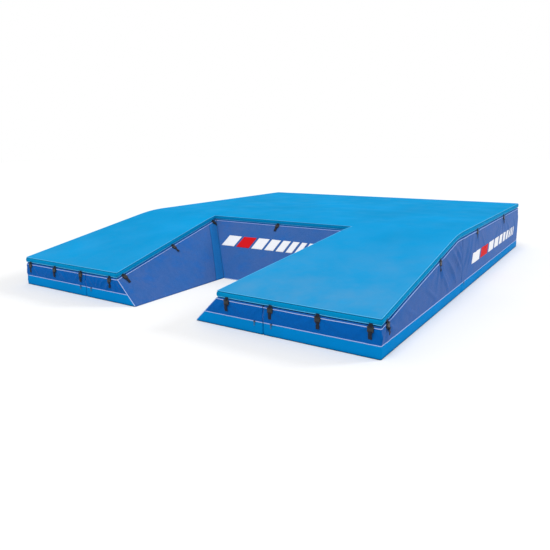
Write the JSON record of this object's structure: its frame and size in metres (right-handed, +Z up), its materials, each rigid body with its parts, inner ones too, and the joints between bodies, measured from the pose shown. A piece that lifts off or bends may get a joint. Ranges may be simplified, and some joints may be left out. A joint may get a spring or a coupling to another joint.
{
  "type": "pole vault landing mat",
  "caption": "Large foam landing mat in blocks under one strapped wear cover, with a flat bed, a front that slopes down and a cut-out for a planting box.",
  "frame": {"origin": "on the ground, under the middle of the mat's box", "axes": "+Y from the runway to the rear, along the mat's length; +X to the right; +Z up"},
  "size_m": [5.224, 6.424, 0.8],
  "materials": {
    "cover_vinyl": "coated fabric, satin",
    "wall_mesh": "woven air mesh, matte",
    "band_vinyl": "coated fabric, satin",
    "foam": "open-cell foam",
    "underside": "coarse backing cloth",
    "webbing": "woven webbing",
    "buckle_webbing": "black webbing and moulded plastic",
    "zip_metal": "plated metal"
  },
  "bodies": {
    "blocks": {"block_straps_centre": "buckle_webbing", "block_straps_cutout_left": "buckle_webbing", "block_straps_cutout_right": "buckle_webbing", "block_straps_front_inner_left": "buckle_webbing", "block_straps_front_inner_right": "buckle_webbing", "block_straps_front_outer_left": "buckle_webbing", "block_straps_front_outer_right": "buckle_webbing", "block_straps_rear_left": "buckle_webbing", "block_straps_rear_right": "buckle_webbing", "centre_base_tray": "band_vinyl", "centre_foam_core": "foam", "centre_upper_cover": "wall_mesh", "front_inner_left_base_tray": "band_vinyl", "front_inner_left_foam_core": "foam", "front_inner_left_upper_cover": "wall_mesh", "front_inner_right_base_tray": "band_vinyl", "front_inner_right_foam_core": "foam", "front_inner_right_upper_cover": "wall_mesh", "front_outer_left_base_tray": "band_vinyl", "front_outer_left_foam_core": "foam", "front_outer_left_upper_cover": "wall_mesh", "front_outer_right_base_tray": "band_vinyl", "front_outer_right_foam_core": "foam", "front_outer_right_upper_cover": "wall_mesh", "joining_strap_centre_left": "webbing", "joining_strap_centre_right": "webbing", "joining_strap_front_left": "webbing", "joining_strap_front_right": "webbing", "joining_strap_rear_far": "webbing", "joining_strap_rear_near": "webbing", "joining_strap_side_left": "webbing", "joining_strap_side_right": "webbing", "rear_left_base_tray": "band_vinyl", "rear_left_foam_core": "foam", "rear_left_upper_cover": "wall_mesh", "rear_right_base_tray": "band_vinyl", "rear_right_foam_core": "foam", "rear_right_upper_cover": "wall_mesh"},
    "wear_cover": {"cover_straps_cutout_back": "buckle_webbing", "cover_straps_cutout_left": "buckle_webbing", "cover_straps_cutout_right": "buckle_webbing", "cover_straps_front_left": "buckle_webbing", "cover_straps_front_right": "buckle_webbing", "cover_straps_rear": "buckle_webbing", "cover_straps_side_left": "buckle_webbing", "cover_straps_side_right": "buckle_webbing", "wear_cover_foam_left": "foam", "wear_cover_foam_rear": "foam", "wear_cover_foam_right": "foam", "wear_cover_top": "cover_vinyl", "wear_cover_underside": "underside"},
    "zip_slider_front_inner_left": {"zip_slider_front_inner_left": "zip_metal"},
    "zip_slider_front_inner_right": {"zip_slider_front_inner_right": "zip_metal"},
    "zip_slider_front_outer_left": {"zip_slider_front_outer_left": "zip_metal"},
    "zip_slider_front_outer_right": {"zip_slider_front_outer_right": "zip_metal"},
    "zip_slider_rear_left": {"zip_slider_rear_left": "zip_metal"},
    "zip_slider_rear_right": {"zip_slider_rear_right": "zip_metal"}
  },
  "joints": [
    {"name": "wear_cover_lift", "type": "slide", "parent": "blocks", "child": "wear_cover", "axis": [0, 0, 1], "range_m": [0, 0.6]},
    {"name": "zip_slider_front_inner_left_run", "type": "slide", "parent": "blocks", "child": "zip_slider_front_inner_left", "axis": [1, 0, 0], "range_m": [0, 0.6]},
    {"name": "zip_slider_front_inner_right_run", "type": "slide", "parent": "blocks", "child": "zip_slider_front_inner_right", "axis": [-1, 0, 0], "range_m": [0, 0.6]},
    {"name": "zip_slider_front_outer_left_run", "type": "slide", "parent": "blocks", "child": "zip_slider_front_outer_left", "axis": [-1, 0, 0], "range_m": [0, 1.05]},
    {"name": "zip_slider_front_outer_right_run", "type": "slide", "parent": "blocks", "child": "zip_slider_front_outer_right", "axis": [1, 0, 0], "range_m": [0, 1.05]},
    {"name": "zip_slider_rear_left_run", "type": "slide", "parent": "blocks", "child": "zip_slider_rear_left", "axis": [0, 1, 0], "range_m": [0, 3.6]},
    {"name": "zip_slider_rear_right_run", "type": "slide", "parent": "blocks", "child": "zip_slider_rear_right", "axis": [0, 1, 0], "range_m": [0, 3.6]}
  ]
}
